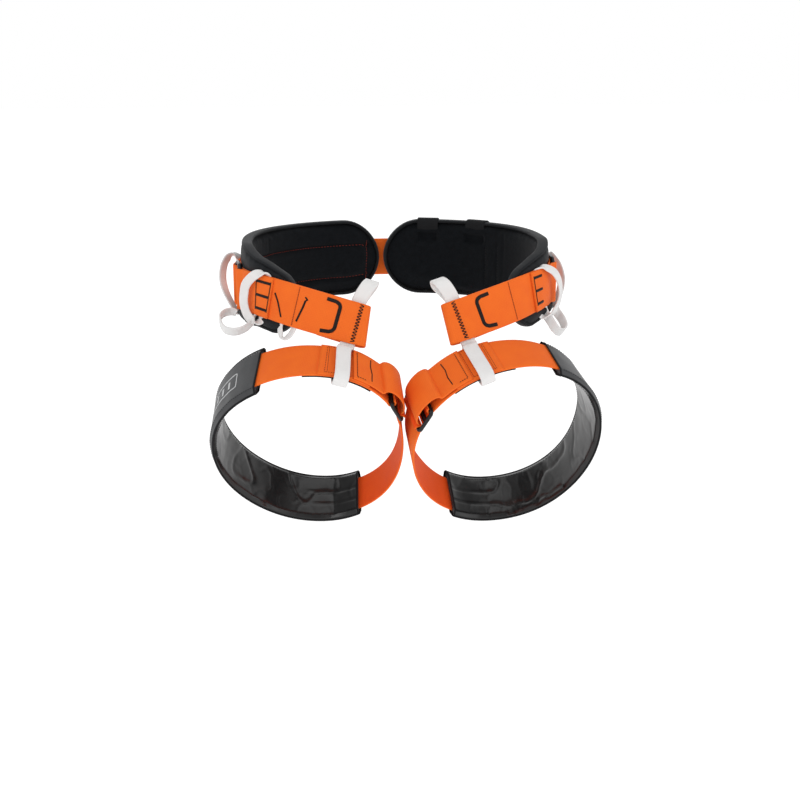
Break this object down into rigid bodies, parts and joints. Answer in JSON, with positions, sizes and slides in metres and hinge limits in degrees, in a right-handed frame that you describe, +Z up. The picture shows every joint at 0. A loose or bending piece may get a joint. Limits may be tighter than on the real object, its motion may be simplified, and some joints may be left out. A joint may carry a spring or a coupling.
{
  "type": "sit harness",
  "caption": "Padded sit harness with a two-part waist belt, tie-in tape eyes, gear loops and two padded leg loops hung from tape slings, shaped as worn.",
  "frame": {"origin": "centre of the belt ring at half the height of its webbing", "axes": "+Z up along the wearer's spine, +X to the wearer's left, -Y to the front where the belt's ends are"},
  "size_m": [0.4247, 0.3224, 0.3303],
  "materials": {
    "orange_webbing": "tight woven polyester webbing, satin",
    "black_webbing": "woven polyamide tape",
    "white_tape": "smooth woven high-tenacity tape, slight sheen",
    "black_fabric": "hard-wearing woven shell cloth",
    "knit_lining": "brushed knit lining",
    "foam": "closed-cell foam",
    "black_edging": "folded woven binding",
    "grey_pvc": "satin coated fabric",
    "black_pvc": "glossy coated fabric",
    "coated_alloy": "black anodised forged alloy",
    "grey_patch": "welded patch"
  },
  "bodies": {
    "belt": {"belt_webbing": "orange_webbing", "tape_keepers": "black_webbing", "lumbar_shell_left": "black_fabric", "lumbar_foam_left": "foam", "lumbar_liner_left": "knit_lining", "lumbar_binding_left": "black_edging", "waist_buckle_left": "coated_alloy", "lumbar_shell_right": "black_fabric", "lumbar_foam_right": "foam", "lumbar_liner_right": "knit_lining", "lumbar_binding_right": "black_edging", "waist_buckle_right": "coated_alloy"},
    "waist_bar_left": {"waist_bar_left": "coated_alloy"},
    "rear_loop_left": {"gear_loop_rear_left": "white_tape"},
    "strap_left": {"front_strap_left": "orange_webbing", "tie_in_core_left": "white_tape"},
    "front_loop_left": {"gear_loop_front_left": "white_tape"},
    "low_loop_left": {"gear_loop_low_left": "white_tape"},
    "eye_left": {"tie_in_eye_left": "white_tape"},
    "sling_left": {"leg_sling_left": "white_tape"},
    "leg_left": {"leg_webbing_left": "orange_webbing", "band_backing_left": "black_webbing", "band_overlay_left": "orange_webbing", "sleeve_cover_left": "grey_pvc", "sleeve_foam_left": "foam", "sleeve_liner_left": "black_pvc", "sleeve_binding_left": "black_edging", "leg_buckle_left": "coated_alloy", "leg_tail_left": "orange_webbing"},
    "leg_bar_left": {"leg_bar_left": "coated_alloy"},
    "waist_bar_right": {"waist_bar_right": "coated_alloy"},
    "rear_loop_right": {"gear_loop_rear_right": "white_tape"},
    "strap_right": {"front_strap_right": "orange_webbing", "tie_in_core_right": "white_tape"},
    "front_loop_right": {"gear_loop_front_right": "white_tape"},
    "low_loop_right": {"gear_loop_low_right": "white_tape"},
    "eye_right": {"tie_in_eye_right": "white_tape"},
    "sling_right": {"leg_sling_right": "white_tape"},
    "tool_loop_right": {"tool_loop_right": "white_tape"},
    "leg_right": {"leg_webbing_right": "orange_webbing", "band_backing_right": "black_webbing", "band_overlay_right": "orange_webbing", "sleeve_cover_right": "grey_pvc", "sleeve_foam_right": "foam", "sleeve_liner_right": "black_pvc", "sleeve_binding_right": "black_edging", "leg_buckle_right": "coated_alloy", "leg_tail_right": "orange_webbing", "label_right": "grey_patch"},
    "leg_bar_right": {"leg_bar_right": "coated_alloy"}
  },
  "joints": [
    {"name": "strap_swing_left", "type": "hinge", "parent": "belt", "child": "strap_left", "pos_m": [0.16986, -0.02905, 0], "axis": [0, 0, 1], "range_deg": [0, 70]},
    {"name": "waist_bar_slide_left", "type": "slide", "parent": "belt", "child": "waist_bar_left", "axis": [-0.1133, -0.9936, 0], "range_m": [-0.002, 0.002]},
    {"name": "rear_loop_swing_left", "type": "hinge", "parent": "belt", "child": "rear_loop_left", "pos_m": [0.17561, -0.02017, -0.03], "axis": [-0.0748, 0.7656, 0.639], "range_deg": [-20, 20]},
    {"name": "front_loop_swing_left", "type": "hinge", "parent": "strap_left", "child": "front_loop_left", "pos_m": [0.1569, -0.06457, -0.0331], "axis": [-0.1352, -0.1312, 0.9821], "range_deg": [-12, 12]},
    {"name": "low_loop_swing_left", "type": "hinge", "parent": "strap_left", "child": "low_loop_left", "pos_m": [0.16721, -0.03915, -0.027], "axis": [-0.4176, -0.7488, -0.5147], "range_deg": [-12, 12]},
    {"name": "eye_flop_left", "type": "hinge", "parent": "strap_left", "child": "eye_left", "pos_m": [0.0489, -0.09534, -0.00465], "axis": [-0.9517, -0.1671, -0.2577], "range_deg": [-30, 30]},
    {"name": "leg_lift_left", "type": "hinge", "parent": "strap_left", "child": "sling_left", "pos_m": [0.06285, -0.11275, -0.04488], "axis": [1, 0, 0], "range_deg": [-36, 4]},
    {"name": "leg_spread_left", "type": "hinge", "parent": "sling_left", "child": "leg_left", "pos_m": [0.06285, -0.11275, -0.04488], "axis": [0, -1, 0], "range_deg": [0, 4.5]},
    {"name": "leg_bar_slide_left", "type": "slide", "parent": "leg_left", "child": "leg_bar_left", "axis": [-0.4074, 0.4006, -0.8207], "range_m": [-0.002, 0.002]},
    {"name": "strap_swing_right", "type": "hinge", "parent": "belt", "child": "strap_right", "pos_m": [-0.16986, -0.02905, 0], "axis": [0, 0, -1], "range_deg": [0, 70]},
    {"name": "waist_bar_slide_right", "type": "slide", "parent": "belt", "child": "waist_bar_right", "axis": [0.1133, -0.9936, 0], "range_m": [-0.002, 0.002]},
    {"name": "rear_loop_swing_right", "type": "hinge", "parent": "belt", "child": "rear_loop_right", "pos_m": [-0.17561, -0.02017, -0.03], "axis": [0.0748, 0.7656, 0.639], "range_deg": [-20, 20]},
    {"name": "front_loop_swing_right", "type": "hinge", "parent": "strap_right", "child": "front_loop_right", "pos_m": [-0.1569, -0.06457, -0.0331], "axis": [0.1352, -0.1312, 0.9821], "range_deg": [-12, 12]},
    {"name": "low_loop_swing_right", "type": "hinge", "parent": "strap_right", "child": "low_loop_right", "pos_m": [-0.16721, -0.03915, -0.027], "axis": [0.4176, -0.7488, -0.5147], "range_deg": [-12, 12]},
    {"name": "tool_loop_swing_right", "type": "hinge", "parent": "strap_right", "child": "tool_loop_right", "pos_m": [-0.12951, -0.08991, -0.02871], "axis": [0.812, -0.5429, -0.2143], "range_deg": [-25, 8]},
    {"name": "eye_flop_right", "type": "hinge", "parent": "strap_right", "child": "eye_right", "pos_m": [-0.0489, -0.09534, -0.00465], "axis": [0.9517, -0.1671, -0.2577], "range_deg": [-30, 30]},
    {"name": "leg_lift_right", "type": "hinge", "parent": "strap_right", "child": "sling_right", "pos_m": [-0.06285, -0.11275, -0.04488], "axis": [1, 0, 0], "range_deg": [-36, 4]},
    {"name": "leg_spread_right", "type": "hinge", "parent": "sling_right", "child": "leg_right", "pos_m": [-0.06285, -0.11275, -0.04488], "axis": [0, 1, 0], "range_deg": [0, 4.5]},
    {"name": "leg_bar_slide_right", "type": "slide", "parent": "leg_right", "child": "leg_bar_right", "axis": [0.4281, 0.5125, -0.7443], "range_m": [-0.002, 0.002]}
  ]
}
